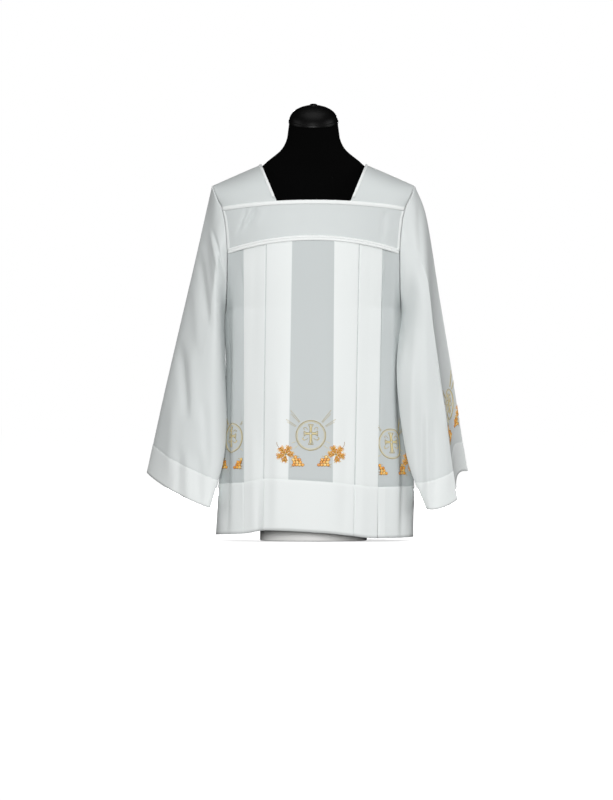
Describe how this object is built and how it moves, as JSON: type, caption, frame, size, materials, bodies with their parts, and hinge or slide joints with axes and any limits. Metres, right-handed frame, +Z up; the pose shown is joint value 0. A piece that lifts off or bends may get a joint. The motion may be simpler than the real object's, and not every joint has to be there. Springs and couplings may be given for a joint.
{
  "type": "surplice on a dress form",
  "caption": "Wide-sleeved white surplice with a square neck and a pleated, embroidered skirt, hanging hollow on a black limbless dress form.",
  "frame": {"origin": "middle of the underside of the dress form's foot, on the surface it stands on", "axes": "+Z up, -Y towards the garment's front, +X towards the wearer's left"},
  "size_m": [0.7108, 0.2979, 0.9637],
  "materials": {
    "cloth": "smooth semi-sheer white polyester",
    "tape": "white woven tape and turned edges",
    "form_cover": "matt black knitted cover",
    "form_cap": "black lacquered neck cap",
    "form_foot": "pale painted low foot"
  },
  "bodies": {
    "root": {"form_body": "form_cover", "form_cap": "form_cap", "form_foot": "form_foot", "front_panel": "cloth", "back_panel": "cloth", "yoke_front": "cloth", "yoke_back": "cloth", "yoke_shoulder_left": "cloth", "yoke_shoulder_right": "cloth", "sleeve_left_front": "cloth", "sleeve_left_back": "cloth", "sleeve_right_front": "cloth", "sleeve_right_back": "cloth", "neck_edge_left": "tape", "neck_edge_right": "tape", "tape_front_upper": "tape", "tape_front_lower": "tape", "tape_back_upper": "tape", "tape_back_lower": "tape"}
  },
  "joints": []
}
